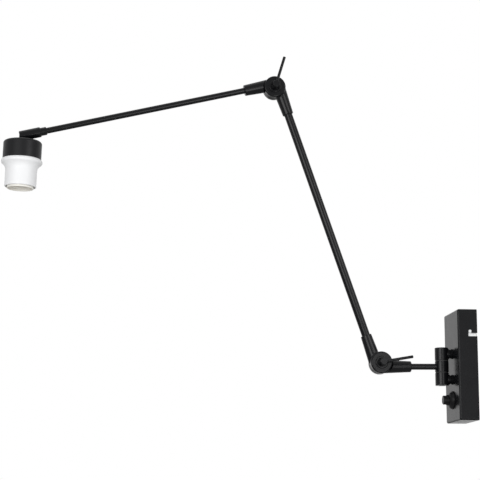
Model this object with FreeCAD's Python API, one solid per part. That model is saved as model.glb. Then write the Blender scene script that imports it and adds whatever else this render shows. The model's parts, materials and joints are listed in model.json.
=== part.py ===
"""Articulating wall lamp with a swivelling hinge, two clamped elbows and a tilting lampholder.

Millimetres. The origin is on the wall, at the middle of the wall box. X runs along the wall,
+Y goes into the wall and +Z is up, so the lamp reaches out along -Y. At rest the whole arm
lies in the plane X = 0. A direction in that plane is an angle from +Y towards +Z.
"""
import FreeCAD, Part
import math
import os

V = FreeCAD.Vector
X_AXIS = V(1, 0, 0)
Y_AXIS = V(0, 1, 0)
Z_AXIS = V(0, 0, 1)

# ---- driving dimensions -------------------------------------------------------------------
FIT = 0.03              # radial room of a fixed fit
RUN = 0.05              # radial room of a turning fit
FACE_GAP = 0.05         # room between flat faces that rub

BOX_WIDTH = 73.0
BOX_DEPTH = 26.0
BOX_HEIGHT = 145.0
COVER_SHEET = 1.2
COVER_BEND = 2.4
HOLE_ROOM = 0.15        # radial room of a hole in the cover's sheet
SLOT_WIDTH = 4.3        # the L-shaped hanging slots in the cover's sides
SLOT_REACH = 11.9       # from the wall to the slot's front edge
SLOT_FOOT = 36.7
SLOT_TOP = 45.3

BRACKET_WIDTH = 68.6
BRACKET_HEIGHT = 120.0
BRACKET_DEPTH = 16.0
BRACKET_SHEET = 1.5
WALL_SCREW_SPACING = 90.0
WALL_SCREW_RADIUS = 2.5
CABLE_ENTRY_RADIUS = 4.5
HANG_PIN_RADIUS = 1.9
LOCK_SCREW_RADIUS = 2.0

HINGE_Y = -39.5         # the upright hinge axis of the swinging arm
BARREL_RADIUS = 9.0
BARREL_HEIGHT = 49.8
MIDDLE_HEIGHT = 14.7
HINGE_WASHER = 0.8
HINGE_PIN_RADIUS = 4.45
STUD_Z = 17.0           # the two hollow studs that carry the hinge, above and below the middle
STUD_RADIUS = 4.95
STUD_BORE = 3.5
STANDOFF_RADIUS = 6.5
STUD_END_Y = -16.5
PLATE_THICKNESS = 2.0
PLATE_HALF_WIDTH = 24.0
PLATE_HALF_HEIGHT = 27.0
STUD_NUT_FLATS = 14.0
STUD_NUT_HEIGHT = 3.0
STUD_WASHER_RADIUS = 9.0
STUD_WASHER = 1.0
WINDOW_RADIUS = 2.4     # the cable's windows in the hinge pin
PLUG_LENGTH = 2.2

KNOB_Z = -44.0
BEZEL_RADIUS = 12.0
BEZEL_HEIGHT = 5.8
COLLAR_RADIUS = 6.9
COLLAR_HEIGHT = 2.8
GRIP_RADIUS = 5.9
GRIP_HEIGHT = 4.4
SHAFT_RADIUS = 3.0
DIMMER_CASE_HALF = 13.0
DIMMER_CASE_DEPTH = 12.0
DIMMER_NUT_HEIGHT = 2.0
BUSH_END_Y = -28.5
SHAFT_REAR_Y = -17.5

TERMINAL_PITCH = 10.0
TERMINAL_Y = -7.75
TERMINAL_LOW = 22.0
TERMINAL_HIGH = 34.0
TERMINAL_HALF_WIDTH = 16.0
TERMINAL_FRONT_Y = -14.0
TERMINAL_TUBE_RADIUS = 2.5
TERMINAL_TUBE_BORE = 1.4
TERMINAL_SCREW_RADIUS = 1.2
EARTH_X = 24.0
EARTH_Z = 28.0
WIRE_RADIUS = 0.9

THIN_TUBE_RADIUS = 4.0
LOWER_TUBE_RADIUS = 5.5
TUBE_WALL = 1.0
TUBE_SOCKET = 20.0      # depth of a tube's end from the elbow's axis
CABLE_RADIUS = 1.8

ELBOW_RADIUS = 14.5
ELBOW_THICKNESS = 10.0  # each half, from the middle plane to its outer face
ELBOW_RIM = 2.0
ELBOW_GAP = 1.2         # between one half's rim and the other half's sleeve
WASHER_HALF = 0.5       # half of the gap that the friction disc fills
CASTING_FILLET = 1.5    # where a sleeve runs out of its disc
FRONT_OFFSET = 6.05     # the sleeves run beside the elbow's axis, on its outer side
REAR_OFFSET = 4.85
SLEEVE_END = 40.5
SLEEVE_ROOT_RADIUS = 8.75
SLEEVE_END_RADIUS = 7.2
LUG_END = 25.6          # the stop lug on the short arm's sleeve, from the elbow's axis
LUG_HEIGHT = 9.8        # its top, from the sleeve's own axis
LUG_WIDTH = 5.0
BOLT_RADIUS = 3.0
BOLT_END = 14.5
HUB_FLANGE_RADIUS = 8.4
HUB_FLANGE_HEIGHT = 1.4
HUB_BASE_RADIUS = 6.1   # above the flange the hub tapers towards its top
HUB_TOP_RADIUS = 4.9
HUB_TOP = 25.5
LEVER_ROD_RADIUS = 1.9
LEVER_START = -1.5      # the rod passes the hub's axis by this much
LEVER_LENGTH = 40.5
LEVER_X = 18.0
CABLE_RING_OUTER = 11.5 # the cable's way round the bolt, inside each half
CABLE_RING_INNER = 6.5
CABLE_RING_DEPTH = 4.6
BOLT_HEAD_DEPTH = 4.4
BOLT_HEAD_HEIGHT = 3.8
BOLT_HEAD_FLATS = 10.0
BOLT_RECESS_RADIUS = 6.0

SHORT_ARM_REACH = 82.5  # from the hinge's axis to the lower elbow's
SHORT_ARM_ANGLE = 0.5   # seen from the lower elbow, back to the hinge: the arm sags a little
LOWER_ARM_ANGLE = 108.9
LOWER_ARM_SPAN = 395.0  # along the tube, from elbow to elbow
UPPER_ARM_ANGLE = 193.5
LOWER_LEVER_ANGLE = 9.8
UPPER_LEVER_ANGLE = 73.1

HEAD_PIVOT_REACH = 341.9    # along the upper tube, from the elbow to the head's pin
HEAD_LEAN = 2.0
BLOCK_RADIUS = 6.75
BLOCK_LENGTH = 28.0
BLOCK_NOSE = 4.75
BLOCK_SOCKET = 14.0         # depth that the upper tube goes into the block
HEAD_COLLAR_RADIUS = 5.4
HEAD_COLLAR_LENGTH = 7.9
TONGUE_HALF = 2.4
TONGUE_RADIUS = 5.2
NECK_BOTTOM = 9.0
NECK_BORE = 2.6
HEAD_PIN_RADIUS = 1.5
NECK_RISE = 8.1             # from the cap's top up to the head's pin

CAP_RADIUS = 25.3
CAP_HEIGHT = 24.5
CAP_WALL = 1.5
CAP_CORNER = 3.5
FLARE_RADIUS = 27.2
FLARE_DEPTH = 28.0
SKIRT_RADIUS = 20.8
SKIRT_WALL = 1.5
SKIRT_BOTTOM = 61.3
INSERT_RADIUS = 17.5
INSERT_BOTTOM = 63.6        # the insert's lip stands out of the sleeve
INSERT_BOSS_RADIUS = 8.0
INSERT_BOSS_TOP = 5.0
MOUTH_RADIUS = 16.2
MOUTH_STEP = 51.8
LAMP_THREAD_RADIUS = 13.4
SHELL_WALL = 0.5
INSERT_TOP = 12.0
INSERT_FLOOR = 18.0
SHELL_TOP = 21.5
RIVET_RADIUS = 2.1
CONTACT_SCREW_X = 11.5
CONTACT_SCREW_RADIUS = 1.5


# ---- helpers ------------------------------------------------------------------------------
def in_plane(angle):
    """Unit vector in the arm's plane, at this angle from +Y towards +Z."""
    return V(0, math.cos(math.radians(angle)), math.sin(math.radians(angle)))


def cylinder(start, direction, radius, length):
    return Part.makeCylinder(radius, length, start, direction)


def pipe(start, direction, radius, bore, length):
    """Straight tube."""
    beyond = 1.0
    hole = cylinder(start - direction * beyond, direction, bore, length + 2 * beyond)
    return cylinder(start, direction, radius, length).cut(hole)


def box(x0, x1, y0, y1, z0, z1):
    return Part.makeBox(x1 - x0, y1 - y0, z1 - z0, V(x0, y0, z0))


def turned(points, start, direction):
    """Solid of revolution. Points are (radius, distance along the axis).

    A point with a third number is the middle of an arc from the point before to the next.
    """
    edges = []
    corners = [V(p[0], 0, p[1]) for p in points]
    count = len(points)
    index = 0
    while index < count:
        following = corners[(index + 1) % count]
        if len(points[(index + 1) % count]) == 3:
            end = corners[(index + 2) % count]
            edges.append(Part.Arc(corners[index], following, end).toShape())
            index += 2
        else:
            edges.append(Part.makeLine(corners[index], following))
            index += 1
    face = Part.Face(Part.Wire(edges))
    solid = face.revolve(V(0, 0, 0), Z_AXIS, 360)
    turn = FreeCAD.Rotation(Z_AXIS, direction)
    solid.Placement = FreeCAD.Placement(start, turn)
    return solid


def hexagon(start, direction, across_flats, length):
    radius = across_flats / math.sqrt(3)
    points = [V(radius * math.cos(math.radians(60 * k)), radius * math.sin(math.radians(60 * k)), 0)
              for k in range(7)]
    solid = Part.Face(Part.makePolygon(points)).extrude(Z_AXIS * length)
    solid.Placement = FreeCAD.Placement(start, FreeCAD.Rotation(Z_AXIS, direction))
    return solid


def wire_along(points, radius, bend):
    """Round wire along straight runs that are joined by arcs of one bend radius."""
    edges = []
    last = points[0]
    for before, corner, after in zip(points, points[1:], points[2:]):
        into = (corner - before).normalize()
        out = (after - corner).normalize()
        half_turn = into.getAngle(out) / 2
        setback = bend * math.tan(half_turn)
        arc_start = corner - into * setback
        arc_end = corner + out * setback
        inward = (out - into).normalize()
        middle = corner + inward * (bend / math.cos(half_turn) - bend)
        edges.append(Part.makeLine(last, arc_start))
        edges.append(Part.Arc(arc_start, middle, arc_end).toShape())
        last = arc_end
    edges.append(Part.makeLine(last, points[-1]))
    heading = points[1] - points[0]
    profile = Part.Wire(Part.makeCircle(radius, points[0], heading))
    return Part.Wire(edges).makePipeShell([profile], True, False)


def fuse(shapes):
    result = shapes[0].fuse(shapes[1:])
    return result.removeSplitter()


def cut(shape, tools):
    for tool in tools:
        shape = shape.cut(tool)
    return shape


# ---- wall box -----------------------------------------------------------------------------
def rounded_block(half_width, depth, half_height, radius):
    """Block on the wall whose front and side edges are rounded, with a sharp rear."""
    block = box(-half_width, half_width, -depth, radius * 2, -half_height, half_height)
    block = block.makeFillet(radius, block.Edges)
    return block.cut(box(-half_width - 1, half_width + 1, 0, radius * 3,
                         -half_height - 1, half_height + 1))


def stud_axes():
    return [V(0, 0, STUD_Z), V(0, 0, -STUD_Z)]


def wall_cover():
    shell = rounded_block(BOX_WIDTH / 2, BOX_DEPTH, BOX_HEIGHT / 2, COVER_BEND)
    hollow = rounded_block(BOX_WIDTH / 2 - COVER_SHEET, BOX_DEPTH - COVER_SHEET,
                           BOX_HEIGHT / 2 - COVER_SHEET, COVER_BEND - COVER_SHEET)
    reach = BOX_WIDTH
    foot = box(-reach, reach, -SLOT_REACH, 1, SLOT_FOOT, SLOT_FOOT + SLOT_WIDTH)
    leg = box(-reach, reach, -SLOT_REACH, SLOT_WIDTH - SLOT_REACH, SLOT_FOOT, SLOT_TOP)
    front = V(0, -BOX_DEPTH - 1, 0)
    holes = [cylinder(front + axis, Y_AXIS, STUD_RADIUS + HOLE_ROOM, 4) for axis in stud_axes()]
    holes.append(cylinder(front + V(0, 0, KNOB_Z), Y_AXIS, STUD_RADIUS + HOLE_ROOM, 4))
    bottom = V(0, -BRACKET_DEPTH / 2, -BOX_HEIGHT / 2 - 1)
    holes.append(cylinder(bottom, Z_AXIS, LOCK_SCREW_RADIUS + HOLE_ROOM, 4))
    return cut(shell, [hollow, foot, leg] + holes)


def lock_tab_z():
    return -BOX_HEIGHT / 2 + COVER_SHEET + 1.0


def wall_bracket():
    half = BRACKET_WIDTH / 2
    top = BRACKET_HEIGHT / 2
    bend = 2.0
    channel = box(-half, half, -BRACKET_DEPTH, 0, -top, top)
    rear_edges = [e for e in channel.Edges
                  if abs(e.CenterOfMass.y) < 0.01 and abs(e.CenterOfMass.z) < 0.01]
    channel = channel.makeFillet(bend, rear_edges)
    inner = half - BRACKET_SHEET
    channel = channel.cut(box(-inner, inner, -BRACKET_DEPTH - 1, -BRACKET_SHEET, -top - 1, top + 1))
    tab_z = lock_tab_z()
    tab_half = 12
    tail = box(-tab_half, tab_half, -BRACKET_SHEET, 0, tab_z, -top + 1)
    tab = box(-tab_half, tab_half, 2 - BRACKET_DEPTH, 0, tab_z, tab_z + BRACKET_SHEET)
    bracket = fuse([channel, tail, tab])
    behind = V(0, -BRACKET_SHEET - 1, 0)
    holes = [cylinder(behind + V(0, 0, side * WALL_SCREW_SPACING / 2), Y_AXIS,
                      WALL_SCREW_RADIUS, 4) for side in (-1, 1)]
    holes.append(cylinder(behind, Y_AXIS, CABLE_ENTRY_RADIUS + 2.0, 4))
    holes.append(cylinder(V(0, -BRACKET_DEPTH / 2, tab_z - 1), Z_AXIS,
                          LOCK_SCREW_RADIUS + FIT, 4))
    holes.append(cylinder(behind + earth_place(), Y_AXIS, 2.0 + FIT, 4))
    for side in (-1, 1):
        holes.append(cylinder(hang_pin_start(side) - X_AXIS * side, X_AXIS * side,
                              HANG_PIN_RADIUS + FIT, 4))
    return cut(bracket, holes)


def earth_place():
    return V(EARTH_X, 0, EARTH_Z)


def hang_pin_start(side):
    return V(side * (BRACKET_WIDTH / 2 - BRACKET_SHEET), SLOT_WIDTH / 2 - SLOT_REACH,
             SLOT_TOP - HANG_PIN_RADIUS - FACE_GAP)


def hang_pins():
    length = BOX_WIDTH / 2 - BRACKET_WIDTH / 2 + BRACKET_SHEET - 0.2
    pins = []
    for side in (-1, 1):
        start = hang_pin_start(side)
        shank = cylinder(start, X_AXIS * side, HANG_PIN_RADIUS, length)
        head = cylinder(start, X_AXIS * -side, HANG_PIN_RADIUS + 1.2, 1.0)
        pins.append(shank.fuse(head).removeSplitter())
    return Part.makeCompound(pins)


def cover_lock_screw():
    start = V(0, -BRACKET_DEPTH / 2, -BOX_HEIGHT / 2)
    screw = cylinder(start, Z_AXIS, LOCK_SCREW_RADIUS, 6)
    return screw.cut(hexagon(start - Z_AXIS, Z_AXIS, 2.0, 3.5))


def cable_grommet():
    inside = -BRACKET_SHEET
    profile = [(CABLE_ENTRY_RADIUS, -4.5), (CABLE_ENTRY_RADIUS, 0),
               (CABLE_ENTRY_RADIUS + 2.0 - FIT, 0), (CABLE_ENTRY_RADIUS + 2.0 - FIT, inside),
               (CABLE_ENTRY_RADIUS + 3.5, inside), (CABLE_ENTRY_RADIUS + 3.5, -3.0),
               (CABLE_ENTRY_RADIUS + 1.5, -4.5)]
    return turned(profile, V(0, 0, 0), Y_AXIS)


def hinge_plate():
    front = -BOX_DEPTH + COVER_SHEET + FACE_GAP
    plate = box(-PLATE_HALF_WIDTH, PLATE_HALF_WIDTH, front, front + PLATE_THICKNESS,
                -PLATE_HALF_HEIGHT, PLATE_HALF_HEIGHT)
    holes = [cylinder(V(0, front - 1, 0) + axis, Y_AXIS, STUD_RADIUS + FIT, PLATE_THICKNESS + 2)
             for axis in stud_axes()]
    return cut(plate, holes)


def stud_fasteners():
    """Washer and hexagon nut behind the plate, one pair on each hollow stud."""
    rear = -BOX_DEPTH + COVER_SHEET + PLATE_THICKNESS + 2 * FACE_GAP
    washers = []
    nuts = []
    for axis in stud_axes():
        washers.append(pipe(V(0, rear, 0) + axis, Y_AXIS, STUD_WASHER_RADIUS, STUD_RADIUS + FIT,
                            STUD_WASHER))
        nut = hexagon(V(0, rear + STUD_WASHER, 0) + axis, Y_AXIS, STUD_NUT_FLATS, STUD_NUT_HEIGHT)
        hole = cylinder(V(0, rear, 0) + axis, Y_AXIS, STUD_RADIUS + FIT, 2 * STUD_NUT_HEIGHT)
        nuts.append(nut.cut(hole))
    return Part.makeCompound(washers), Part.makeCompound(nuts)


# ---- hinge --------------------------------------------------------------------------------
def knuckle(low, high):
    """One knuckle of the hinge barrel, with softened outer corners."""
    edge = 0.5
    bore = HINGE_PIN_RADIUS + RUN
    profile = [(bore, low), (bore, high), (BARREL_RADIUS - edge, high),
               (BARREL_RADIUS, high - edge), (BARREL_RADIUS, low + edge),
               (BARREL_RADIUS - edge, low)]
    return turned(profile, V(0, HINGE_Y, 0), Z_AXIS)


def fixed_knuckle(side):
    near = MIDDLE_HEIGHT / 2 + HINGE_WASHER + 2 * FACE_GAP
    far = BARREL_HEIGHT / 2
    low, high = (near, far) if side > 0 else (-far, -near)
    socket = cylinder(V(0, HINGE_Y, side * STUD_Z), Y_AXIS, STUD_RADIUS + FIT, BARREL_RADIUS + 1)
    return knuckle(low, high).cut(socket)


def hinge_washers():
    low = MIDDLE_HEIGHT / 2 + FACE_GAP
    rings = [pipe(V(0, HINGE_Y, z), Z_AXIS, BARREL_RADIUS - 0.5, HINGE_PIN_RADIUS + RUN,
                  HINGE_WASHER) for z in (low, -low - HINGE_WASHER)]
    return Part.makeCompound(rings)


def hinge_pin():
    """Hollow pin with a window towards the arm and one towards each stud, for the cable."""
    length = BARREL_HEIGHT - 5.5
    pin = pipe(V(0, HINGE_Y, -length / 2), Z_AXIS, HINGE_PIN_RADIUS, HINGE_PIN_RADIUS - 1.4, length)
    windows = [cylinder(V(0, HINGE_Y, 0), Y_AXIS * -1, WINDOW_RADIUS, 6)]
    windows += [cylinder(V(0, HINGE_Y, 0) + axis, Y_AXIS, WINDOW_RADIUS, 6)
                for axis in stud_axes()]
    return cut(pin, windows)


def hinge_end_plugs():
    low = BARREL_HEIGHT / 2 - PLUG_LENGTH - 0.4
    plugs = [cylinder(V(0, HINGE_Y, z), Z_AXIS, HINGE_PIN_RADIUS, PLUG_LENGTH)
             for z in (low, -low - PLUG_LENGTH)]
    return Part.makeCompound(plugs)


def hinge_studs():
    start_y = HINGE_Y + HINGE_PIN_RADIUS + 0.4
    length = STUD_END_Y - start_y
    studs = [pipe(V(0, start_y, 0) + axis, Y_AXIS, STUD_RADIUS, STUD_BORE, length)
             for axis in stud_axes()]
    return Part.makeCompound(studs)


def hinge_standoffs():
    """Grooved spacers between the barrel and the cover, hollowed to sit on the barrel."""
    front = -BOX_DEPTH - FACE_GAP
    barrel_side = HINGE_Y + BARREL_RADIUS - 3.0
    length = front - barrel_side
    bore = STUD_RADIUS + FIT
    groove = STANDOFF_RADIUS - 0.9
    seat = cylinder(V(0, HINGE_Y, -BOX_HEIGHT / 2), Z_AXIS, BARREL_RADIUS + FIT, BOX_HEIGHT)
    spacers = []
    for axis in stud_axes():
        profile = [(bore, 0), (bore, length), (STANDOFF_RADIUS, length),
                   (STANDOFF_RADIUS, length - 1.6), (groove, length - 2.0),
                   (groove, length - 2.8), (STANDOFF_RADIUS, length - 3.2), (STANDOFF_RADIUS, 0)]
        spacer = turned(profile, V(0, barrel_side, 0) + axis, Y_AXIS)
        spacers.append(spacer.cut(seat))
    return Part.makeCompound(spacers)


# ---- dimmer -------------------------------------------------------------------------------
def dimmer_body():
    front = -BOX_DEPTH + COVER_SHEET + FACE_GAP
    half = DIMMER_CASE_HALF
    rear = front + DIMMER_CASE_DEPTH
    case = box(-half, half, front, rear, KNOB_Z - half, KNOB_Z + half)
    case = case.makeFillet(1.0, [e for e in case.Edges if abs(e.CenterOfMass.y - rear) < 0.1])
    return case.cut(cylinder(V(0, front - 1, KNOB_Z), Y_AXIS, SHAFT_RADIUS + 0.3, 9))


def dimmer_bush():
    front = -BOX_DEPTH + COVER_SHEET
    return pipe(V(0, BUSH_END_Y, KNOB_Z), Y_AXIS, STUD_RADIUS, SHAFT_RADIUS + RUN,
                front - BUSH_END_Y)


def dimmer_nut():
    front = -BOX_DEPTH - DIMMER_NUT_HEIGHT - 0.1
    nut = hexagon(V(0, front, KNOB_Z), Y_AXIS, STUD_NUT_FLATS, DIMMER_NUT_HEIGHT)
    return nut.cut(cylinder(V(0, front - 1, KNOB_Z), Y_AXIS, STUD_RADIUS + FIT, 6))


def dimmer_bezel():
    """Domed ring that hides the dimmer's nut."""
    inner = SHAFT_RADIUS + 0.6
    mouth = COLLAR_RADIUS - 0.4
    profile = [(inner, BEZEL_HEIGHT), (mouth, BEZEL_HEIGHT),
               (10.2, BEZEL_HEIGHT * 0.62, "arc"), (BEZEL_RADIUS, 0.6),
               (BEZEL_RADIUS, FACE_GAP), (BEZEL_RADIUS - 1.4, FACE_GAP),
               (9.0, BEZEL_HEIGHT * 0.45, "arc"), (mouth, BEZEL_HEIGHT - 1.4),
               (inner, BEZEL_HEIGHT - 1.4)]
    return turned(profile, V(0, -BOX_DEPTH, KNOB_Z), Y_AXIS * -1)


def knob_base_y():
    return -BOX_DEPTH - BEZEL_HEIGHT - 0.1


def dimmer_knob():
    edge = 0.4
    tip = COLLAR_HEIGHT + GRIP_HEIGHT
    profile = [(SHAFT_RADIUS + FIT, 0), (COLLAR_RADIUS, 0), (COLLAR_RADIUS, COLLAR_HEIGHT - edge),
               (COLLAR_RADIUS - edge, COLLAR_HEIGHT), (GRIP_RADIUS, COLLAR_HEIGHT),
               (GRIP_RADIUS, tip - edge), (GRIP_RADIUS - edge, tip), (0, tip), (0, tip - 1.6),
               (SHAFT_RADIUS + FIT, tip - 1.6)]
    return turned(profile, V(0, knob_base_y(), KNOB_Z), Y_AXIS * -1)


def dimmer_shaft():
    end = knob_base_y() - COLLAR_HEIGHT - GRIP_HEIGHT + 1.7
    return cylinder(V(0, end, KNOB_Z), Y_AXIS, SHAFT_RADIUS, SHAFT_REAR_Y - end)


# ---- wiring in the box --------------------------------------------------------------------
def terminal_columns():
    return [V(step * TERMINAL_PITCH, TERMINAL_Y, 0) for step in (-1, 0, 1)]


def terminal_block():
    block = box(-TERMINAL_HALF_WIDTH, TERMINAL_HALF_WIDTH, TERMINAL_FRONT_Y,
                -BRACKET_SHEET - FACE_GAP, TERMINAL_LOW, TERMINAL_HIGH)
    tall = TERMINAL_HIGH - TERMINAL_LOW + 2
    middle = (TERMINAL_LOW + TERMINAL_HIGH) / 2
    tools = []
    for column in terminal_columns():
        tools.append(cylinder(column + V(0, 0, TERMINAL_LOW - 1), Z_AXIS,
                              TERMINAL_TUBE_RADIUS + FIT, tall))
        tools.append(cylinder(V(column.x, TERMINAL_FRONT_Y - 1, middle), Y_AXIS,
                              TERMINAL_SCREW_RADIUS + 0.4, 7))
    return cut(block, tools)


def terminal_tubes_and_screws():
    tall = TERMINAL_HIGH - TERMINAL_LOW
    middle = (TERMINAL_LOW + TERMINAL_HIGH) / 2
    tubes = []
    screws = []
    for column in terminal_columns():
        tube = pipe(column + V(0, 0, TERMINAL_LOW), Z_AXIS, TERMINAL_TUBE_RADIUS,
                    TERMINAL_TUBE_BORE, tall)
        tubes.append(tube.cut(cylinder(V(column.x, TERMINAL_FRONT_Y - 1, middle), Y_AXIS,
                                       TERMINAL_SCREW_RADIUS + FIT, 7)))
        screws.append(cylinder(V(column.x, TERMINAL_FRONT_Y + 1, middle), Y_AXIS,
                               TERMINAL_SCREW_RADIUS, 4.2))
    return Part.makeCompound(tubes), Part.makeCompound(screws)


def earth_screw():
    place = earth_place()
    head = cylinder(place + V(0, -BRACKET_SHEET - 3.0, 0), Y_AXIS, 3.6, 2.0)
    shank = cylinder(place + V(0, -BRACKET_SHEET - 1.0, 0), Y_AXIS, 2.0, BRACKET_SHEET + 0.9)
    slot = box(place.x - 4, place.x + 4, -BRACKET_SHEET - 3.5, -BRACKET_SHEET - 2.2,
               place.z - 0.4, place.z + 0.4)
    return head.fuse(shank).removeSplitter().cut(slot)


def box_wires():
    low = TERMINAL_LOW + 3
    live = wire_along([V(-10, TERMINAL_Y, low), V(-10, TERMINAL_Y, -16), V(-10, -16, -24),
                       V(-10, -16, KNOB_Z + 13.1)], WIRE_RADIUS, 4.0)
    switched = wire_along([V(10, -16, KNOB_Z + 13.1), V(10, -16, -25), V(12, -9, -8),
                           V(10, -9, 10), V(1.4, -9, 17), V(1.4, -30, 17)], WIRE_RADIUS, 3.0)
    neutral = wire_along([V(0, TERMINAL_Y, low), V(0, TERMINAL_Y, 19.5), V(-1.4, -12, 17),
                          V(-1.4, -30, 17)], WIRE_RADIUS, 1.5)
    high = TERMINAL_HIGH - 3
    earth = wire_along([V(10, TERMINAL_Y, high), V(10, TERMINAL_Y, 41), V(24, -6, 41),
                        V(24, -2.5, 32.2)], WIRE_RADIUS, 2.5)
    return live, switched, neutral, earth


# ---- elbows -------------------------------------------------------------------------------
def sleeve_offset(side):
    return FRONT_OFFSET if side > 0 else REAR_OFFSET


def elbow_half(pivot, angle, turn, side):
    """Half of an elbow: a disc on one side of the middle plane and the sleeve for a tube.

    angle is the sleeve's direction away from the pivot, turn is +1 or -1 for the side of that
    direction that the sleeve is offset to, and side is +1 for the front half, -1 for the rear.
    """
    along = in_plane(angle)
    beside = in_plane(angle + 90 * turn)
    facing = X_AXIS * side
    disc_profile = [(0, WASHER_HALF), (ELBOW_RADIUS - 0.4, WASHER_HALF),
                    (ELBOW_RADIUS, WASHER_HALF + 0.4), (ELBOW_RADIUS, ELBOW_THICKNESS - ELBOW_RIM),
                    (ELBOW_RADIUS - ELBOW_RIM * 0.293, ELBOW_THICKNESS - ELBOW_RIM * 0.293, "arc"),
                    (ELBOW_RADIUS - ELBOW_RIM, ELBOW_THICKNESS), (0, ELBOW_THICKNESS)]
    disc = turned(disc_profile, pivot, facing)
    root = pivot + beside * sleeve_offset(side)
    root_start = 4.0
    edge = 0.6
    sleeve = turned([(0, root_start), (SLEEVE_ROOT_RADIUS, root_start),
                     (SLEEVE_END_RADIUS + 0.05, SLEEVE_END - edge),
                     (SLEEVE_END_RADIUS - edge, SLEEVE_END), (0, SLEEVE_END)], root, along)
    other_side = cylinder(pivot + facing * WASHER_HALF, facing * -1,
                          ELBOW_RADIUS + ELBOW_GAP, 2 * ELBOW_THICKNESS)
    half = fuse([disc, sleeve.cut(other_side)])
    seam_depth = 2.0
    seam = [e for e in half.Edges if isinstance(e.Curve, Part.BSplineCurve)
            and (e.CenterOfMass - pivot).dot(facing) > seam_depth]
    return half.makeFillet(CASTING_FILLET, seam), root, along, facing


def hollowed_half(pivot, angle, turn, side, tube_radius):
    """Elbow half with the tube's socket, the cable's way round the bolt and the bolt's hole."""
    half, root, along, facing = elbow_half(pivot, angle, turn, side)
    socket = cylinder(root + along * TUBE_SOCKET, along, tube_radius + FIT, SLEEVE_END)
    inside = WASHER_HALF
    depth = CABLE_RING_DEPTH
    ring = pipe(pivot + facing * (inside - 1), facing, CABLE_RING_OUTER, CABLE_RING_INNER,
                depth + 1)
    groove_half = 2.5
    groove_start = 7.5
    groove = Part.makeBox(depth + 1, 2 * groove_half, TUBE_SOCKET + 0.5 - groove_start)
    groove.translate(V(inside - 1 if side > 0 else -inside - depth, -groove_half, groove_start))
    groove.Placement = FreeCAD.Placement(root, FreeCAD.Rotation(X_AXIS, angle - 90)).multiply(
        groove.Placement)
    hole = cylinder(pivot - facing, facing, BOLT_RADIUS + RUN, ELBOW_THICKNESS + 3)
    tools = [socket, ring, groove, hole]
    if side < 0:
        tools.append(cylinder(pivot + facing * (ELBOW_THICKNESS - BOLT_HEAD_DEPTH), facing,
                              BOLT_RECESS_RADIUS, ELBOW_THICKNESS))
    return cut(half, tools)


def lower_elbow_rear():
    """Rear half on the short arm, with a stop lug on the sleeve's inner side."""
    half = hollowed_half(lower_elbow(), SHORT_ARM_ANGLE, -1, -1, THIN_TUBE_RADIUS)
    start = ELBOW_RADIUS + ELBOW_GAP
    lug = box(-LUG_WIDTH - WASHER_HALF, -WASHER_HALF, start, LUG_END,
              SLEEVE_END_RADIUS - 1, LUG_HEIGHT)
    lug = lug.makeFillet(1.0, [e for e in lug.Edges if e.CenterOfMass.z > LUG_HEIGHT - 0.1])
    root = lower_elbow() - in_plane(SHORT_ARM_ANGLE + 90) * REAR_OFFSET
    lug.Placement = FreeCAD.Placement(root, FreeCAD.Rotation(X_AXIS, SHORT_ARM_ANGLE))
    return fuse([half, lug])


def elbow_bolt(pivot):
    head_start = ELBOW_THICKNESS - BOLT_HEAD_DEPTH + FACE_GAP
    head = hexagon(pivot - X_AXIS * head_start, X_AXIS * -1, BOLT_HEAD_FLATS, BOLT_HEAD_HEIGHT)
    shank = cylinder(pivot - X_AXIS * head_start, X_AXIS, BOLT_RADIUS, head_start + BOLT_END)
    return head.fuse(shank).removeSplitter()


def friction_disc(pivot):
    """Flat ring between the halves, outside the cable's channel."""
    half = WASHER_HALF - FACE_GAP
    return pipe(pivot - X_AXIS * half, X_AXIS, ELBOW_RADIUS - 0.6, CABLE_RING_OUTER + 0.1, 2 * half)


def lever_hub(pivot, angle):
    """Clamp nut: a flange on the elbow's face and a tapered post that holds the lever's rod."""
    base = ELBOW_THICKNESS + FACE_GAP
    shoulder = base + HUB_FLANGE_HEIGHT
    edge = 0.4
    round_over = 0.9
    bolt_hole = BOLT_RADIUS + RUN
    hole_end = BOLT_END + 0.4
    profile = [(bolt_hole, base), (HUB_FLANGE_RADIUS - edge, base), (HUB_FLANGE_RADIUS, base + edge),
               (HUB_FLANGE_RADIUS - 0.3, shoulder - 0.3, "arc"),
               (HUB_FLANGE_RADIUS - 1.0, shoulder), (HUB_BASE_RADIUS, shoulder),
               (HUB_TOP_RADIUS, HUB_TOP - round_over),
               (HUB_TOP_RADIUS - round_over * 0.293, HUB_TOP - round_over * 0.293, "arc"),
               (HUB_TOP_RADIUS - round_over, HUB_TOP), (0, HUB_TOP), (0, hole_end),
               (bolt_hole, hole_end)]
    hub = turned(profile, pivot, X_AXIS)
    hole_start = pivot + X_AXIS * LEVER_X + in_plane(angle) * (LEVER_START - 0.2)
    return hub.cut(cylinder(hole_start, in_plane(angle), LEVER_ROD_RADIUS + FIT,
                            2 * HUB_BASE_RADIUS))


def lever_rod(pivot, angle):
    edge = 0.3
    tip_radius = LEVER_ROD_RADIUS - edge
    profile = [(0, LEVER_START), (LEVER_ROD_RADIUS, LEVER_START),
               (LEVER_ROD_RADIUS, LEVER_LENGTH - edge), (tip_radius, LEVER_LENGTH),
               (0, LEVER_LENGTH)]
    return turned(profile, pivot + X_AXIS * LEVER_X, in_plane(angle))


# ---- arms ---------------------------------------------------------------------------------
def lower_elbow():
    on_tube = V(0, HINGE_Y, 0) - in_plane(SHORT_ARM_ANGLE) * SHORT_ARM_REACH
    return on_tube + in_plane(SHORT_ARM_ANGLE + 90) * REAR_OFFSET


def lower_arm_axis_start():
    """Foot of the lower elbow's axis on the lower tube's centre line."""
    return lower_elbow() + in_plane(LOWER_ARM_ANGLE + 90) * FRONT_OFFSET


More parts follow.
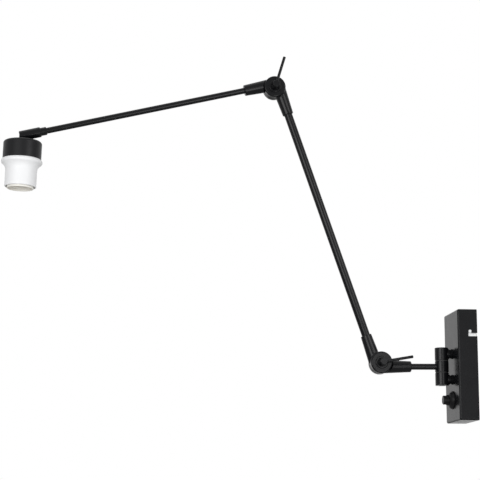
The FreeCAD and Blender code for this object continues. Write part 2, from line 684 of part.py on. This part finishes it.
def upper_elbow():
    on_tube = lower_arm_axis_start() + in_plane(LOWER_ARM_ANGLE) * LOWER_ARM_SPAN
    return on_tube + in_plane(LOWER_ARM_ANGLE + 90) * FRONT_OFFSET


def upper_arm_axis_start():
    return upper_elbow() + in_plane(UPPER_ARM_ANGLE - 90) * REAR_OFFSET


def head_pivot():
    return upper_arm_axis_start() + in_plane(UPPER_ARM_ANGLE) * HEAD_PIVOT_REACH


def middle_knuckle():
    half = MIDDLE_HEIGHT / 2
    body = knuckle(-half, half)
    away = in_plane(SHORT_ARM_ANGLE) * -1
    return body.cut(cylinder(V(0, HINGE_Y, 0), away, THIN_TUBE_RADIUS + FIT, 12))


def tube_and_cable(start, direction, radius, length):
    """Straight tube and the cable that lies on the tube's inside wall."""
    bore = radius - TUBE_WALL
    tube = pipe(start, direction, radius, bore, length)
    down = V(0, direction.z, -direction.y).normalize()
    if down.z > 0:
        down = down * -1
    shift = down * (bore - CABLE_RADIUS - FIT)
    cable = cylinder(start + direction + shift, direction, CABLE_RADIUS, length - 2)
    return tube, cable


def short_arm():
    away = in_plane(SHORT_ARM_ANGLE) * -1
    inner_end = HINGE_PIN_RADIUS + 0.5
    start = V(0, HINGE_Y, 0) + away * inner_end
    return tube_and_cable(start, away, THIN_TUBE_RADIUS,
                          SHORT_ARM_REACH - TUBE_SOCKET - 0.2 - inner_end)


def lower_arm():
    along = in_plane(LOWER_ARM_ANGLE)
    start = lower_arm_axis_start() + along * (TUBE_SOCKET + 0.2)
    return tube_and_cable(start, along, LOWER_TUBE_RADIUS,
                          LOWER_ARM_SPAN - 2 * TUBE_SOCKET - 0.4)


def block_rear():
    return HEAD_PIVOT_REACH + BLOCK_NOSE - BLOCK_LENGTH


def upper_arm():
    along = in_plane(UPPER_ARM_ANGLE)
    start = upper_arm_axis_start() + along * (TUBE_SOCKET + 0.2)
    return tube_and_cable(start, along, THIN_TUBE_RADIUS,
                          block_rear() + BLOCK_SOCKET - TUBE_SOCKET - 0.2)


def head_collar():
    along = in_plane(UPPER_ARM_ANGLE)
    start = upper_arm_axis_start() + along * (block_rear() - HEAD_COLLAR_LENGTH - FACE_GAP)
    edge = 0.5
    bore = THIN_TUBE_RADIUS + FIT
    profile = [(bore, 0), (HEAD_COLLAR_RADIUS - edge, 0), (HEAD_COLLAR_RADIUS, edge),
               (HEAD_COLLAR_RADIUS, HEAD_COLLAR_LENGTH), (bore, HEAD_COLLAR_LENGTH)]
    return turned(profile, start, along)


def head_block():
    """Fork at the arm's end. It is modelled along +Z with the pin at the origin."""
    nose = BLOCK_NOSE
    tail = nose - BLOCK_LENGTH
    edge = 0.6
    block = turned([(0, tail), (BLOCK_RADIUS - edge, tail), (BLOCK_RADIUS, tail + edge),
                    (BLOCK_RADIUS, nose - edge), (BLOCK_RADIUS - edge, nose), (0, nose)],
                   V(0, 0, 0), Z_AXIS)
    slot_half = TONGUE_HALF + 0.2
    slot_tail = -TONGUE_RADIUS - 0.8
    slot = box(-slot_half, slot_half, -BLOCK_RADIUS - 1, TONGUE_RADIUS + 0.4, slot_tail, nose + 1)
    reach = 4.2
    clear = 2 * BLOCK_RADIUS
    corner = [V(-clear, -BLOCK_RADIUS - 1, nose - reach), V(-clear, -BLOCK_RADIUS - 1, nose + 1),
              V(-clear, -BLOCK_RADIUS + reach, nose + 1), V(-clear, -BLOCK_RADIUS + reach, nose),
              V(-clear, -BLOCK_RADIUS, nose - reach)]
    nose_cut = Part.Face(Part.makePolygon(corner + corner[:1])).extrude(X_AXIS * 2 * clear)
    socket = cylinder(V(0, 0, tail - 1), Z_AXIS, THIN_TUBE_RADIUS + FIT, BLOCK_SOCKET + 2)
    cable_way = cylinder(V(0, 0, tail), Z_AXIS, WINDOW_RADIUS, BLOCK_LENGTH - nose)
    pin_hole = cylinder(V(-clear, 0, 0), X_AXIS, HEAD_PIN_RADIUS + FIT, 2 * clear)
    block = cut(block, [slot, nose_cut, socket, cable_way, pin_hole])
    block.Placement = FreeCAD.Placement(head_pivot(),
                                        FreeCAD.Rotation(X_AXIS, UPPER_ARM_ANGLE - 90))
    return block


def head_pivot_pin():
    half = math.sqrt(BLOCK_RADIUS ** 2 - HEAD_PIN_RADIUS ** 2) - 0.1
    return cylinder(head_pivot() - X_AXIS * half, X_AXIS, HEAD_PIN_RADIUS, 2 * half)


# ---- head: modelled upright with the cap's top at the origin, then leaned -------------------
def placed(shape):
    lean = FreeCAD.Rotation(X_AXIS, -HEAD_LEAN)
    top = head_pivot() - lean.multVec(Z_AXIS * NECK_RISE)
    move = FreeCAD.Placement(top, lean)
    shape.Placement = move.multiply(shape.Placement)
    return shape


def head_stem():
    """Flat tongue for the fork and the threaded neck below it."""
    tongue = box(-TONGUE_HALF, TONGUE_HALF, -TONGUE_RADIUS, TONGUE_RADIUS, FACE_GAP, NECK_RISE)
    crown = cylinder(V(-TONGUE_HALF, 0, NECK_RISE), X_AXIS, TONGUE_RADIUS, 2 * TONGUE_HALF)
    neck = cylinder(V(0, 0, -NECK_BOTTOM), Z_AXIS, STUD_RADIUS, NECK_BOTTOM + 0.5)
    stem = fuse([tongue, crown, neck])
    eye = cylinder(V(-2 * TONGUE_HALF, 0, NECK_RISE), X_AXIS, HEAD_PIN_RADIUS + RUN,
                   4 * TONGUE_HALF)
    bore = cylinder(V(0, 0, -NECK_BOTTOM - 1), Z_AXIS, NECK_BORE, NECK_BOTTOM)
    return placed(cut(stem, [eye, bore]))


def head_cap():
    diagonal = 0.293
    inner = CAP_RADIUS - CAP_WALL
    inner_corner = CAP_CORNER - CAP_WALL
    hole = STUD_RADIUS + 0.6
    profile = [(hole, 0), (CAP_RADIUS - CAP_CORNER, 0),
               (CAP_RADIUS - CAP_CORNER * diagonal, -CAP_CORNER * diagonal, "arc"),
               (CAP_RADIUS, -CAP_CORNER), (CAP_RADIUS, -CAP_HEIGHT), (inner, -CAP_HEIGHT),
               (inner, -CAP_WALL - inner_corner),
               (inner - inner_corner * diagonal, -CAP_WALL - inner_corner * diagonal, "arc"),
               (inner - inner_corner, -CAP_WALL), (hole, -CAP_WALL)]
    return placed(turned(profile, V(0, 0, 0), Z_AXIS))


def head_lock_nut():
    bottom = V(0, 0, -CAP_WALL - STUD_NUT_HEIGHT - FACE_GAP)
    nut = hexagon(bottom, Z_AXIS, STUD_NUT_FLATS, STUD_NUT_HEIGHT)
    return placed(nut.cut(cylinder(bottom - Z_AXIS, Z_AXIS, STUD_RADIUS + FIT, 6)))


def lampholder_skirt():
    """White outer shell: it spreads to a rim under the cap and narrows to a sleeve."""
    shoulder = CAP_RADIUS - CAP_WALL - 0.3
    upper = -8.0
    sleeve_top = -39.5
    inner = SKIRT_RADIUS - SKIRT_WALL
    profile = [(shoulder, upper), (shoulder, -CAP_HEIGHT - 0.1), (CAP_RADIUS, -CAP_HEIGHT - 0.1),
               (FLARE_RADIUS - 0.3, -FLARE_DEPTH + 1.6, "arc"), (FLARE_RADIUS, -FLARE_DEPTH),
               (FLARE_RADIUS - 0.5, -FLARE_DEPTH - 1.6, "arc"),
               (FLARE_RADIUS - 1.9, -FLARE_DEPTH - 2.9),
               (SKIRT_RADIUS + 1.3, -FLARE_DEPTH - 6.6, "arc"), (SKIRT_RADIUS, sleeve_top),
               (SKIRT_RADIUS, -SKIRT_BOTTOM + 0.8),
               (SKIRT_RADIUS - 0.25, -SKIRT_BOTTOM + 0.25, "arc"),
               (SKIRT_RADIUS - 0.8, -SKIRT_BOTTOM), (inner, -SKIRT_BOTTOM),
               (inner, sleeve_top), (shoulder - 2.2, -FLARE_DEPTH), (shoulder - 2.2, upper)]
    return placed(turned(profile, V(0, 0, 0), Z_AXIS))


def lampholder_insert():
    """Cream insert: a boss on the neck, a floor that carries the contacts, and the barrel.

    A rib centres it in the sleeve, and its rounded lip stands out below the sleeve's edge.
    """
    shell_bore = LAMP_THREAD_RADIUS + SHELL_WALL + FIT
    neck_bore = STUD_RADIUS + FIT
    step = -MOUTH_STEP
    floor_top = -INSERT_FLOOR + 4.0
    rib = SKIRT_RADIUS - SKIRT_WALL - FIT
    rib_top = -42.0
    rib_bottom = -47.0
    bottom = -INSERT_BOTTOM
    lip = 0.6
    corner = lip * 0.293
    profile = [(neck_bore, floor_top), (neck_bore, -INSERT_BOSS_TOP),
               (INSERT_BOSS_RADIUS, -INSERT_BOSS_TOP), (INSERT_BOSS_RADIUS, -INSERT_TOP),
               (INSERT_RADIUS, -INSERT_TOP), (INSERT_RADIUS, rib_top + rib - INSERT_RADIUS),
               (rib, rib_top), (rib, rib_bottom), (INSERT_RADIUS, rib_bottom),
               (INSERT_RADIUS, bottom + lip), (INSERT_RADIUS - corner, bottom + corner, "arc"),
               (INSERT_RADIUS - lip, bottom), (MOUTH_RADIUS + lip, bottom),
               (MOUTH_RADIUS + corner, bottom + corner, "arc"), (MOUTH_RADIUS, bottom + lip),
               (MOUTH_RADIUS, step), (shell_bore, step), (shell_bore, -INSERT_FLOOR),
               (RIVET_RADIUS + 0.1, -INSERT_FLOOR), (RIVET_RADIUS + 0.1, floor_top)]
    insert = turned(profile, V(0, 0, 0), Z_AXIS)
    holes = [cylinder(V(x, 0, -INSERT_FLOOR - 1), Z_AXIS, CONTACT_SCREW_RADIUS + FIT, 8)
             for x in (-CONTACT_SCREW_X, CONTACT_SCREW_X)]
    return placed(cut(insert, holes))


def thread_shell():
    bottom = 0.3 - MOUTH_STEP
    return placed(pipe(V(0, 0, bottom), Z_AXIS, LAMP_THREAD_RADIUS + SHELL_WALL,
                       LAMP_THREAD_RADIUS, -SHELL_TOP - bottom))


def centre_contact():
    floor = -INSERT_FLOOR
    strip_top = floor - 0.1
    strip_bottom = floor - 0.9
    bow_height = 1.8
    rivet = cylinder(V(0, 0, strip_top), Z_AXIS, RIVET_RADIUS, 3.4)
    strip = box(-2.5, 2.5, -6, 6, strip_bottom, strip_top)
    bow = cylinder(V(0, 0, strip_bottom + 0.1 - bow_height), Z_AXIS, 3.2, bow_height)
    return placed(fuse([rivet, strip, bow]))


def contact_screws():
    screws = []
    for x in (-CONTACT_SCREW_X, CONTACT_SCREW_X):
        shank = cylinder(V(x, 0, -INSERT_FLOOR + 0.4), Z_AXIS, CONTACT_SCREW_RADIUS, 6.6)
        head = cylinder(V(x, 0, -INSERT_TOP + 0.9), Z_AXIS, CONTACT_SCREW_RADIUS + 1.3, 1.8)
        screws.append(shank.fuse(head).removeSplitter())
    return placed(Part.makeCompound(screws))


def lampholder_leads():
    leads = []
    for side in (-1, 1):
        x = side * CONTACT_SCREW_X
        leads.append(wire_along([V(side * 10.2, 0, -3.0), V(side * 10.2, 8, -3.0),
                                 V(x, 8, -10.2), V(x, 3.6, -10.2)], WIRE_RADIUS, 2.0))
    return placed(Part.makeCompound(leads))


# ---- every piece --------------------------------------------------------------------------
def build():
    stud_washers, stud_nuts = stud_fasteners()
    terminal_tubes, terminal_screws = terminal_tubes_and_screws()
    live, switched, neutral, earth = box_wires()
    short_tube, short_cable = short_arm()
    lower_tube, lower_cable = lower_arm()
    upper_tube, upper_cable = upper_arm()
    low_elbow = lower_elbow()
    high_elbow = upper_elbow()
    parts = {
        "wall_cover": wall_cover(),
        "wall_bracket": wall_bracket(),
        "hang_pins": hang_pins(),
        "cover_lock_screw": cover_lock_screw(),
        "cable_grommet": cable_grommet(),
        "hinge_plate": hinge_plate(),
        "stud_washers": stud_washers,
        "stud_nuts": stud_nuts,
        "hinge_studs": hinge_studs(),
        "hinge_standoffs": hinge_standoffs(),
        "hinge_knuckle_top": fixed_knuckle(1),
        "hinge_knuckle_bottom": fixed_knuckle(-1),
        "hinge_washers": hinge_washers(),
        "hinge_pin": hinge_pin(),
        "hinge_end_plugs": hinge_end_plugs(),
        "dimmer_body": dimmer_body(),
        "dimmer_bush": dimmer_bush(),
        "dimmer_nut": dimmer_nut(),
        "dimmer_bezel": dimmer_bezel(),
        "dimmer_knob": dimmer_knob(),
        "dimmer_shaft": dimmer_shaft(),
        "terminal_block": terminal_block(),
        "terminal_tubes": terminal_tubes,
        "terminal_screws": terminal_screws,
        "earth_screw": earth_screw(),
        "wire_live": live,
        "wire_switched": switched,
        "wire_neutral": neutral,
        "wire_earth": earth,
        "hinge_knuckle_middle": middle_knuckle(),
        "short_tube": short_tube,
        "short_cable": short_cable,
        "lower_elbow_rear": lower_elbow_rear(),
        "lower_elbow_front": hollowed_half(low_elbow, LOWER_ARM_ANGLE, 1, 1, LOWER_TUBE_RADIUS),
        "lower_elbow_bolt": elbow_bolt(low_elbow),
        "lower_friction_disc": friction_disc(low_elbow),
        "lower_lever_hub": lever_hub(low_elbow, LOWER_LEVER_ANGLE),
        "lower_lever_rod": lever_rod(low_elbow, LOWER_LEVER_ANGLE),
        "lower_tube": lower_tube,
        "lower_cable": lower_cable,
        "upper_elbow_front": hollowed_half(high_elbow, LOWER_ARM_ANGLE + 180, 1, 1,
                                           LOWER_TUBE_RADIUS),
        "upper_elbow_rear": hollowed_half(high_elbow, UPPER_ARM_ANGLE, -1, -1, THIN_TUBE_RADIUS),
        "upper_elbow_bolt": elbow_bolt(high_elbow),
        "upper_friction_disc": friction_disc(high_elbow),
        "upper_lever_hub": lever_hub(high_elbow, UPPER_LEVER_ANGLE),
        "upper_lever_rod": lever_rod(high_elbow, UPPER_LEVER_ANGLE),
        "upper_tube": upper_tube,
        "upper_cable": upper_cable,
        "head_collar": head_collar(),
        "head_block": head_block(),
        "head_pivot_pin": head_pivot_pin(),
        "head_stem": head_stem(),
        "head_cap": head_cap(),
        "head_lock_nut": head_lock_nut(),
        "lampholder_skirt": lampholder_skirt(),
        "lampholder_insert": lampholder_insert(),
        "lampholder_thread_shell": thread_shell(),
        "lampholder_centre_contact": centre_contact(),
        "lampholder_screws": contact_screws(),
        "lampholder_leads": lampholder_leads(),
    }
    return parts


os.makedirs("parts", exist_ok=True)
for name, shape in build().items():
    shape.exportStep("parts/" + name + ".step")
    print(name, "solids", len(shape.Solids), "valid", shape.isValid(), "mm3", round(shape.Volume, 1))
print("elbows", lower_elbow(), upper_elbow(), "head pin", head_pivot())
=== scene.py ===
"""Looks of an articulating wall lamp, in metres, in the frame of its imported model."""

import json
import math

import bmesh
import bpy
from mathutils import Matrix, Vector


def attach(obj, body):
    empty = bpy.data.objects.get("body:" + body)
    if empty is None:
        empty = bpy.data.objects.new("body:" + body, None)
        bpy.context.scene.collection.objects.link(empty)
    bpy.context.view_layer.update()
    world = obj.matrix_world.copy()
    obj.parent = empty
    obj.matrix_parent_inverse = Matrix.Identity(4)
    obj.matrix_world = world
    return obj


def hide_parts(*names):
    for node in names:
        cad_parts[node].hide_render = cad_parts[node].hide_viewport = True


MM = 0.001
FULL_TURN = 2 * math.pi

# ---- camera, as the photograph was taken --------------------------------------------------
CAMERA_PLACE = Vector((2.0654, -0.5522, -0.21527))
CAMERA_AZIMUTH = 83.258
CAMERA_ELEVATION = -10.36
CAMERA_ROLL = -0.066
CAMERA_NEAREST = 0.1
CAMERA_FARTHEST = 50.0
FOCAL_PIXELS = 1600.0
IMAGE_PIXELS = 480.0
SENSOR_WIDTH = 36.0

# ---- studio: white all round, its light on matt surfaces a little lower ---------------------
ROOM_LIGHT = 0.39
FLOOR_HEIGHT = -1.3
FLOOR_HALF_WIDTH = 8.0
SOFTBOX_TARGET = Vector((0, -0.3, 0.15))
SOFTBOX_DISTANCE = 2.4
# Each softbox: azimuth and elevation in degrees, width and height in metres, radiance.
SOFTBOXES = {
    "left_softbox": (57.0, 0.0, 1.6, 0.8, 5.9),
    "right_softbox": (129.0, 18.0, 1.1, 0.6, 5.2),
    "low_softbox": (103.0, -17.0, 0.7, 0.9, 6.2),
    "fill_softbox": (101.5, 2.0, 0.4, 0.4, 4.5),
    "top_softbox": (0.0, 70.0, 1.6, 1.6, 0.8),
}

# ---- the lampholder's screwed shell, in millimetres and degrees -----------------------------
HEAD_LEAN = 2.0
THREAD_PITCH = 3.63
THREAD_MIDDLE = 13.0
THREAD_DEPTH = 0.42
THREAD_SHEET = 0.35
SHELL_LENGTH = 30.0
STEPS_AROUND = 96
STEPS_ALONG = 150

# ---- spans of a texture's 0 to 1 that a colour or roughness range is laid over --------------
WIDE_SPAN = (0.3, 0.7)
NARROW_SPAN = (0.35, 0.65)
STRIPE_EDGE = (0.62, 0.66)
WHOLE_SPAN = (0.0, 1.0)

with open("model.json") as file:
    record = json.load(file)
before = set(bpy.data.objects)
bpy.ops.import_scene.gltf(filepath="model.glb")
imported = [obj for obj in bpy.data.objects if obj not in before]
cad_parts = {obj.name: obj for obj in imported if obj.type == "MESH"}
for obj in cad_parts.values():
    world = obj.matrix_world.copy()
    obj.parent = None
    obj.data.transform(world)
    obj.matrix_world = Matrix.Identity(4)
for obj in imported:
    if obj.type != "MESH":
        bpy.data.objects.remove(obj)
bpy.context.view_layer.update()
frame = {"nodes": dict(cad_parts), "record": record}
nodes = frame["nodes"]


# ---- shader helpers -----------------------------------------------------------------------
class Graph:
    """Short hand for building one material's nodes."""

    def __init__(self, name):
        self.material = bpy.data.materials.new(name)
        self.material.use_nodes = True
        self.tree = self.material.node_tree
        self.shader = self.tree.nodes["Principled BSDF"]
        self.place = self.add("ShaderNodeTexCoord").outputs["Object"]

    def add(self, kind, **settings):
        node = self.tree.nodes.new(kind)
        for key, value in settings.items():
            setattr(node, key, value)
        return node

    def link(self, source, target):
        self.tree.links.new(source, target)

    def noise(self, scale, detail=2.0, roughness=0.5, stretch=None):
        """Cloudy texture with about this many features to the metre, squeezed by stretch."""
        node = self.add("ShaderNodeTexNoise")
        node.inputs["Scale"].default_value = scale
        node.inputs["Detail"].default_value = detail
        node.inputs["Roughness"].default_value = roughness
        place = self.place
        if stretch:
            mapping = self.add("ShaderNodeMapping")
            mapping.inputs["Scale"].default_value = stretch
            self.link(self.place, mapping.inputs["Vector"])
            place = mapping.outputs["Vector"]
        self.link(place, node.inputs["Vector"])
        return node.outputs["Fac"]

    def remap(self, value, span, target):
        """Stretch the part of a texture's values within span over the target range."""
        node = self.add("ShaderNodeMapRange")
        for key, number in zip(("From Min", "From Max", "To Min", "To Max"), span + target):
            node.inputs[key].default_value = number
        self.link(value, node.inputs["Value"])
        return node.outputs["Result"]

    def blend(self, factor, tones):
        """Colour between two tones."""
        node = self.add("ShaderNodeMix", data_type="RGBA")
        self.link(factor, node.inputs["Factor"])
        for key, tone in zip(("A", "B"), tones):
            node.inputs[key].default_value = tone + (1.0,)
        return node.outputs["Result"]

    def bump(self, height, depth, strength):
        node = self.add("ShaderNodeBump")
        node.inputs["Distance"].default_value = depth
        node.inputs["Strength"].default_value = strength
        self.link(height, node.inputs["Height"])
        return node.outputs["Normal"]

    def finish(self, color, roughness, normal=None, **plain):
        """Join the textures to the shader and set its plain values on its sockets."""
        self.link(color, self.shader.inputs["Base Color"])
        self.link(roughness, self.shader.inputs["Roughness"])
        if normal is not None:
            self.link(normal, self.shader.inputs["Normal"])
        for key, value in plain.items():
            self.shader.inputs[key.replace("_", " ")].default_value = value
        return self.material


# ---- materials ----------------------------------------------------------------------------
def black_enamel(name, sheen, specular):
    """Satin powder coat: an even, fine orange peel with faint cloudiness in its sheen."""
    g = Graph(name)
    peel = g.noise(420.0)
    cloud = g.noise(22.0, detail=3.0, roughness=0.6)
    color = g.blend(g.remap(cloud, NARROW_SPAN, WHOLE_SPAN),
                    ((0.0036, 0.0038, 0.0045), (0.0048, 0.0050, 0.0058)))
    roughness = g.remap(g.noise(60.0), WIDE_SPAN, sheen)
    return g.finish(color, roughness, g.bump(peel, depth=0.00003, strength=0.25),
                    Specular_IOR_Level=specular)


def zinc_plate():
    """Zinc-plated sheet and hardware, with the faint direction of the rolled steel."""
    g = Graph("zinc_steel")
    grain = g.noise(90.0, detail=4.0, roughness=0.6, stretch=(1.0, 1.0, 24.0))
    bloom = g.noise(60.0, detail=3.0)
    color = g.blend(g.remap(bloom, WIDE_SPAN, WHOLE_SPAN),
                    ((0.40, 0.41, 0.42), (0.54, 0.54, 0.53)))
    return g.finish(color, g.remap(grain, WIDE_SPAN, (0.42, 0.55)),
                    g.bump(grain, depth=0.00002, strength=0.3), Metallic=1.0)


def brass():
    """Brass: a cloudy change between two tones, with fine upright scuffs."""
    g = Graph("brass")
    cloud = g.noise(140.0, detail=3.0)
    scuff = g.noise(900.0, stretch=(1.0, 1.0, 0.15))
    color = g.blend(g.remap(cloud, NARROW_SPAN, WHOLE_SPAN),
                    ((0.68, 0.47, 0.19), (0.80, 0.60, 0.29)))
    return g.finish(color, g.remap(scuff, WIDE_SPAN, (0.2, 0.34)),
                    g.bump(scuff, depth=0.00002, strength=0.25), Metallic=1.0)


def plastic(name, tones, sheen, texture_scale, texture_depth, specular=0.5):
    """Moulded plastic: two close tones, an even fine texture and a slightly uneven sheen."""
    g = Graph(name)
    tone = g.noise(45.0)
    texture = g.noise(texture_scale)
    color = g.blend(g.remap(tone, WIDE_SPAN, WHOLE_SPAN), tones)
    return g.finish(color, g.remap(g.noise(120.0), WIDE_SPAN, sheen),
                    g.bump(texture, depth=texture_depth, strength=0.3),
                    Specular_IOR_Level=specular)


def earth_insulation():
    """Green insulation with a yellow stripe that winds round the core."""
    g = Graph("green_insulation")
    wave = g.add("ShaderNodeTexWave", wave_type="BANDS", bands_direction="DIAGONAL")
    wave.inputs["Scale"].default_value = 120.0
    g.link(g.place, wave.inputs["Vector"])
    stripe = g.remap(wave.outputs["Fac"], STRIPE_EDGE, WHOLE_SPAN)
    color = g.blend(stripe, ((0.05, 0.26, 0.04), (0.72, 0.60, 0.03)))
    sheen = g.noise(300.0)
    return g.finish(color, g.remap(sheen, WIDE_SPAN, (0.35, 0.5)),
                    g.bump(sheen, depth=0.00003, strength=0.2))


MATERIALS = {
    "black_enamel": black_enamel("black_enamel", sheen=(0.19, 0.24), specular=0.155),
    "zinc_steel": zinc_plate(),
    "brass": brass(),
    "black_plastic": plastic("black_plastic",
                             tones=((0.004, 0.004, 0.0045), (0.006, 0.006, 0.0065)),
                             sheen=(0.36, 0.44), texture_scale=1500.0, texture_depth=0.00003,
                             specular=0.14),
    "white_plastic": plastic("white_plastic",
                             tones=((0.815, 0.82, 0.83), (0.83, 0.835, 0.845)),
                             sheen=(0.42, 0.48), texture_scale=700.0, texture_depth=0.000004),
    "cream_plastic": plastic("cream_plastic",
                             tones=((0.86, 0.845, 0.79), (0.88, 0.865, 0.815)),
                             sheen=(0.34, 0.44), texture_scale=900.0, texture_depth=0.00003),
    "grey_plastic": plastic("grey_plastic",
                            tones=((0.10, 0.10, 0.105), (0.13, 0.13, 0.135)),
                            sheen=(0.4, 0.5), texture_scale=1200.0, texture_depth=0.00005),
    "black_rubber": plastic("black_rubber",
                            tones=((0.014, 0.014, 0.014), (0.022, 0.022, 0.022)),
                            sheen=(0.62, 0.78), texture_scale=1100.0, texture_depth=0.00006),
    "nylon": plastic("nylon",
                     tones=((0.02, 0.02, 0.02), (0.03, 0.03, 0.03)),
                     sheen=(0.45, 0.55), texture_scale=900.0, texture_depth=0.00004),
    "brown_insulation": plastic("brown_insulation",
                                tones=((0.06, 0.022, 0.010), (0.085, 0.032, 0.014)),
                                sheen=(0.35, 0.45), texture_scale=600.0,
                                texture_depth=0.00003),
    "blue_insulation": plastic("blue_insulation",
                               tones=((0.012, 0.07, 0.28), (0.018, 0.09, 0.34)),
                               sheen=(0.35, 0.45), texture_scale=600.0,
                               texture_depth=0.00003),
    "green_insulation": earth_insulation(),
}

# The cap is more matt than the arms, and the wall box reflects a little less.
ROUGH_ENAMEL = black_enamel("black_enamel_rough", sheen=(0.36, 0.42), specular=0.18)
BOX_ENAMEL = black_enamel("black_enamel_box", sheen=(0.22, 0.27), specular=0.115)

for subpart in frame["record"]["subparts"]:
    data = nodes[subpart["node"]].data
    data.materials.clear()
    data.materials.append(MATERIALS[subpart["material_slot"]])
nodes["head_cap"].data.materials[0] = ROUGH_ENAMEL
nodes["wall_cover"].data.materials[0] = BOX_ENAMEL


# ---- objects ------------------------------------------------------------------------------
def add_object(name, data):
    added = bpy.data.objects.new(name, data)
    bpy.context.scene.collection.objects.link(added)
    return added


def thread_rows(mesh, layer):
    """Rings of points from mouth to base, this far out from the inside of the sheet."""
    rows = []
    for i in range(STEPS_ALONG + 1):
        z = (i / STEPS_ALONG - 0.5) * SHELL_LENGTH
        fade = min(1.0, (i / STEPS_ALONG) * SHELL_LENGTH / THREAD_PITCH)
        row = []
        for k in range(STEPS_AROUND):
            turn = FULL_TURN * k / STEPS_AROUND
            wave = math.cos(FULL_TURN * z / THREAD_PITCH - turn)
            radius = THREAD_MIDDLE + THREAD_DEPTH * wave * fade + layer
            row.append(mesh.verts.new((radius * math.cos(turn) * MM,
                                       radius * math.sin(turn) * MM, z * MM)))
        rows.append(row)
    return rows


def thread_shell():
    """Thin brass shell with its thread rolled into the sheet, fading in over the first turn."""
    mesh = bmesh.new()
    inside = thread_rows(mesh, 0.0)
    outside = thread_rows(mesh, THREAD_SHEET)
    for k in range(STEPS_AROUND):
        after = (k + 1) % STEPS_AROUND
        for i in range(STEPS_ALONG):
            mesh.faces.new((inside[i][after], inside[i][k], inside[i + 1][k],
                            inside[i + 1][after]))
            mesh.faces.new((outside[i][k], outside[i][after], outside[i + 1][after],
                            outside[i + 1][k]))
        mesh.faces.new((inside[0][k], inside[0][after], outside[0][after], outside[0][k]))
        mesh.faces.new((inside[-1][after], inside[-1][k], outside[-1][k], outside[-1][after]))
    for face in mesh.faces:
        face.smooth = True
    data = bpy.data.meshes.new("rolled_thread")
    mesh.to_mesh(data)
    mesh.free()
    node = nodes["lampholder_thread_shell"]
    corners = [node.matrix_world @ Vector(corner) for corner in node.bound_box]
    centre = sum(corners, Vector()) / len(corners)
    lean = Matrix.Rotation(math.radians(-HEAD_LEAN), 4, "X")
    data.transform(Matrix.Translation(centre) @ lean)
    data.materials.append(MATERIALS["brass"])
    shell = add_object("rolled_thread", data)
    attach(shell, "head")
    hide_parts("lampholder_thread_shell")


# ---- studio -------------------------------------------------------------------------------
def look_from(azimuth, elevation):
    """Unit vector from the object towards a viewer at this azimuth and elevation."""
    a, e = math.radians(azimuth), math.radians(elevation)
    return Vector((math.sin(a) * math.cos(e), -math.cos(a) * math.cos(e), math.sin(e)))


def make_camera():
    """Camera where the photograph was taken from."""
    data = bpy.data.cameras.new("photo_camera")
    data.sensor_width = SENSOR_WIDTH
    data.lens = FOCAL_PIXELS / IMAGE_PIXELS * SENSOR_WIDTH
    data.clip_start = CAMERA_NEAREST
    data.clip_end = CAMERA_FARTHEST
    camera = add_object("photo_camera", data)
    back = look_from(CAMERA_AZIMUTH, CAMERA_ELEVATION)
    right = Vector((0, 0, 1)).cross(back).normalized()
    up = back.cross(right)
    turn = Matrix((right, up, back)).transposed().to_4x4()
    roll = Matrix.Rotation(math.radians(CAMERA_ROLL), 4, "Z")
    camera.matrix_world = Matrix.Translation(CAMERA_PLACE) @ turn @ roll
    bpy.context.scene.camera = camera


def make_floor():
    """Plain pale floor below the lamp."""
    mesh = bpy.data.meshes.new("floor")
    half, height = FLOOR_HALF_WIDTH, FLOOR_HEIGHT
    mesh.from_pydata([(-half, -half, height), (half, -half, height), (half, half, height),
                      (-half, half, height)], [], [(0, 1, 2, 3)])
    floor = add_object("floor", mesh)
    g = Graph("floor")
    tone = g.noise(1.5)
    color = g.blend(tone, ((0.79, 0.79, 0.785), (0.81, 0.81, 0.805)))
    mesh.materials.append(g.finish(color, g.remap(tone, WHOLE_SPAN, (0.8, 0.9))))


def softbox(name, azimuth, elevation, width, height, radiance):
    """Rectangular lamp that faces the object and that no camera sees."""
    data = bpy.data.lights.new(name, "AREA")
    data.shape = "RECTANGLE"
    data.size = width
    data.size_y = height
    data.energy = radiance * math.pi * width * height
    light = add_object(name, data)
    light.visible_camera = False
    away = look_from(azimuth, elevation)
    light.location = SOFTBOX_TARGET + away * SOFTBOX_DISTANCE
    light.rotation_mode = "QUATERNION"
    light.rotation_quaternion = away.to_track_quat("Z", "Y")


def make_world():
    """White to the camera and in every reflection; a little lower as light on matt surfaces."""
    world = bpy.data.worlds.new("studio")
    bpy.context.scene.world = world
    world.use_nodes = True
    tree = world.node_tree
    background = tree.nodes["Background"]
    path = tree.nodes.new("ShaderNodeLightPath")
    shown = path.outputs["Is Camera Ray"]
    for ray in ("Is Glossy Ray", "Is Transmission Ray"):
        either = tree.nodes.new("ShaderNodeMath")
        either.operation = "MAXIMUM"
        tree.links.new(shown, either.inputs[0])
        tree.links.new(path.outputs[ray], either.inputs[1])
        shown = either.outputs["Value"]
    strength = tree.nodes.new("ShaderNodeMix")
    tree.links.new(shown, strength.inputs["Factor"])
    strength.inputs["A"].default_value = ROOM_LIGHT
    strength.inputs["B"].default_value = 1.0
    tree.links.new(strength.outputs["Result"], background.inputs["Strength"])
    background.inputs["Color"].default_value = (1.0, 1.0, 1.0, 1.0)


thread_shell()
make_camera()
make_floor()
make_world()
for softbox_name, softbox_sizes in SOFTBOXES.items():
    softbox(softbox_name, *softbox_sizes)
bpy.context.scene.view_settings.view_transform = "Standard"
